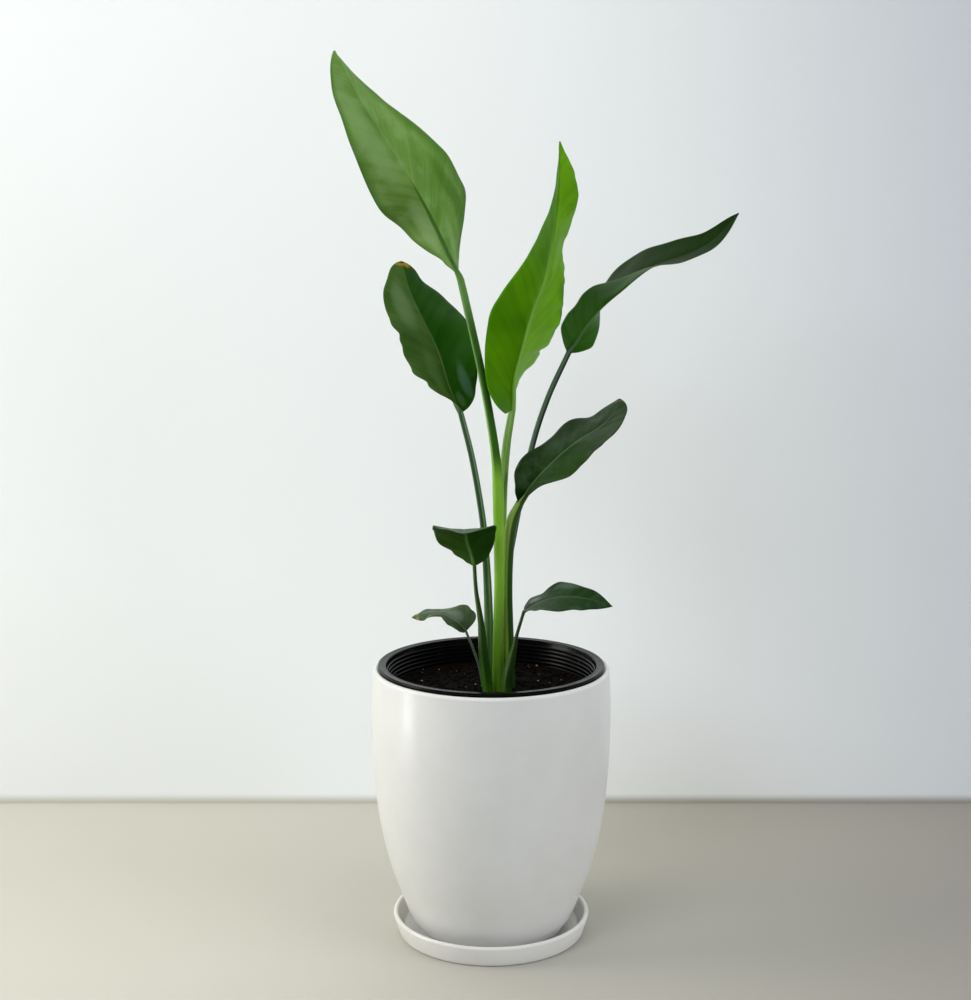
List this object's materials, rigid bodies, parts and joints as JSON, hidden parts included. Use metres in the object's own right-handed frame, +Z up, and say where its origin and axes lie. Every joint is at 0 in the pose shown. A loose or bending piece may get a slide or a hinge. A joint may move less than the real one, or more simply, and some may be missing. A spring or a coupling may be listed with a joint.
{
  "type": "potted bird of paradise plant",
  "caption": "Young bird of paradise with upright paddle leaves on long stems, in a nursery pot hung in a round tapered cover pot on a saucer.",
  "frame": {"origin": "middle of the saucer's flat underside, on the axis of the pots", "axes": "+Z up along the pots' axis; the front of the plant looks along -Y, and +X is to the right seen from the front"},
  "size_m": [0.3346, 0.2184, 0.7584],
  "materials": {
    "white_glaze": "satin",
    "black_plastic": "gloss",
    "potting_mix": "loose damp peat with white perlite",
    "crown": "fibrous, buried",
    "bright_stem": "smooth waxy living stem",
    "dark_stem": "smooth waxy living stem",
    "pale_leaf": "waxy leaf, pale underside to the front",
    "young_leaf": "thin waxy young leaf that lets light through",
    "dark_leaf": "glossy waxy leaf"
  },
  "bodies": {
    "root": {"saucer": "white_glaze", "cover_pot": "white_glaze", "nursery_pot": "black_plastic", "potting_mix": "potting_mix", "crown": "crown", "stem_tall_left": "bright_stem", "stem_centre_young": "bright_stem", "stem_middle_left": "dark_stem", "stem_middle_right": "dark_stem", "stem_upper_right": "dark_stem", "stem_small_left": "dark_stem", "stem_lowest_left": "dark_stem", "stem_lowest_right": "dark_stem", "blade_tall_left": "pale_leaf", "blade_centre_young": "young_leaf", "blade_middle_left": "dark_leaf", "blade_middle_right": "dark_leaf", "blade_upper_right": "dark_leaf", "blade_small_left": "dark_leaf", "blade_lowest_left": "dark_leaf", "blade_lowest_right": "dark_leaf"}
  },
  "joints": []
}
